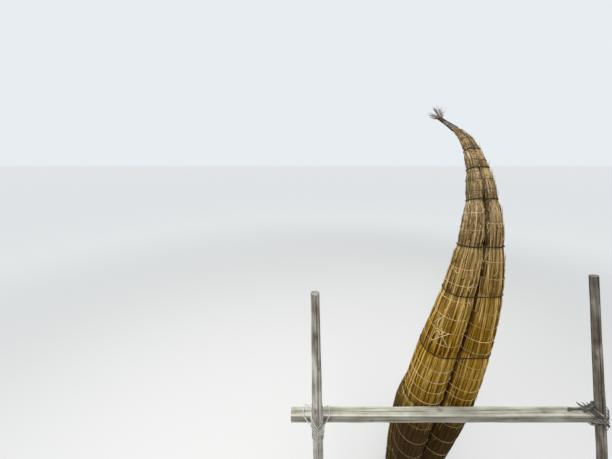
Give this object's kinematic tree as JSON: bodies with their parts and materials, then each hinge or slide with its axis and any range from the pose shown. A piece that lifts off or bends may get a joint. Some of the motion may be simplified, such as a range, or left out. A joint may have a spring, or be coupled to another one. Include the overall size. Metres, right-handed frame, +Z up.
{
  "type": "reed boat on its storage rack",
  "caption": "Small reed fishing boat of lashed bundles with an upturned bow, stored upright on its stern and leaning on a pole and rail rack.",
  "frame": {"origin": "middle of the whole's box on the floor", "axes": "+Z up along the standing boat, +Y from the boat's hull side to its deck side, +X to the boat's port side"},
  "size_m": [2.7434, 1.207, 3.8122],
  "materials": {
    "hull_reeds": "dry golden reeds, side by side, darker in the folds",
    "deck_reeds": "dry golden reeds, a little browner",
    "reed_tips": "grey-brown dry flower stems",
    "dark_rope": "tarry twisted rope",
    "pale_cord": "weathered pale twisted cord",
    "post_wood": "grey weathered round pole with splits and knots",
    "rail_wood": "grey-green weathered squared timber with splits"
  },
  "bodies": {
    "root": {"starboard_mother_bundle": "hull_reeds", "port_mother_bundle": "hull_reeds", "starboard_son_bundle": "deck_reeds", "port_son_bundle": "deck_reeds", "hull_lashing_1": "dark_rope", "hull_lashing_2": "dark_rope", "hull_lashing_3": "dark_rope", "hull_lashing_4": "dark_rope", "hull_lashing_5": "dark_rope", "hull_lashing_6": "dark_rope", "hull_lashing_7": "dark_rope", "hull_lashing_8": "dark_rope", "bow_binding": "dark_rope", "bow_tuft": "reed_tips", "rack_left_post": "post_wood", "rack_right_post": "post_wood", "rack_rail": "rail_wood", "left_rail_lashing": "pale_cord", "right_rail_lashing": "pale_cord"}
  },
  "joints": []
}
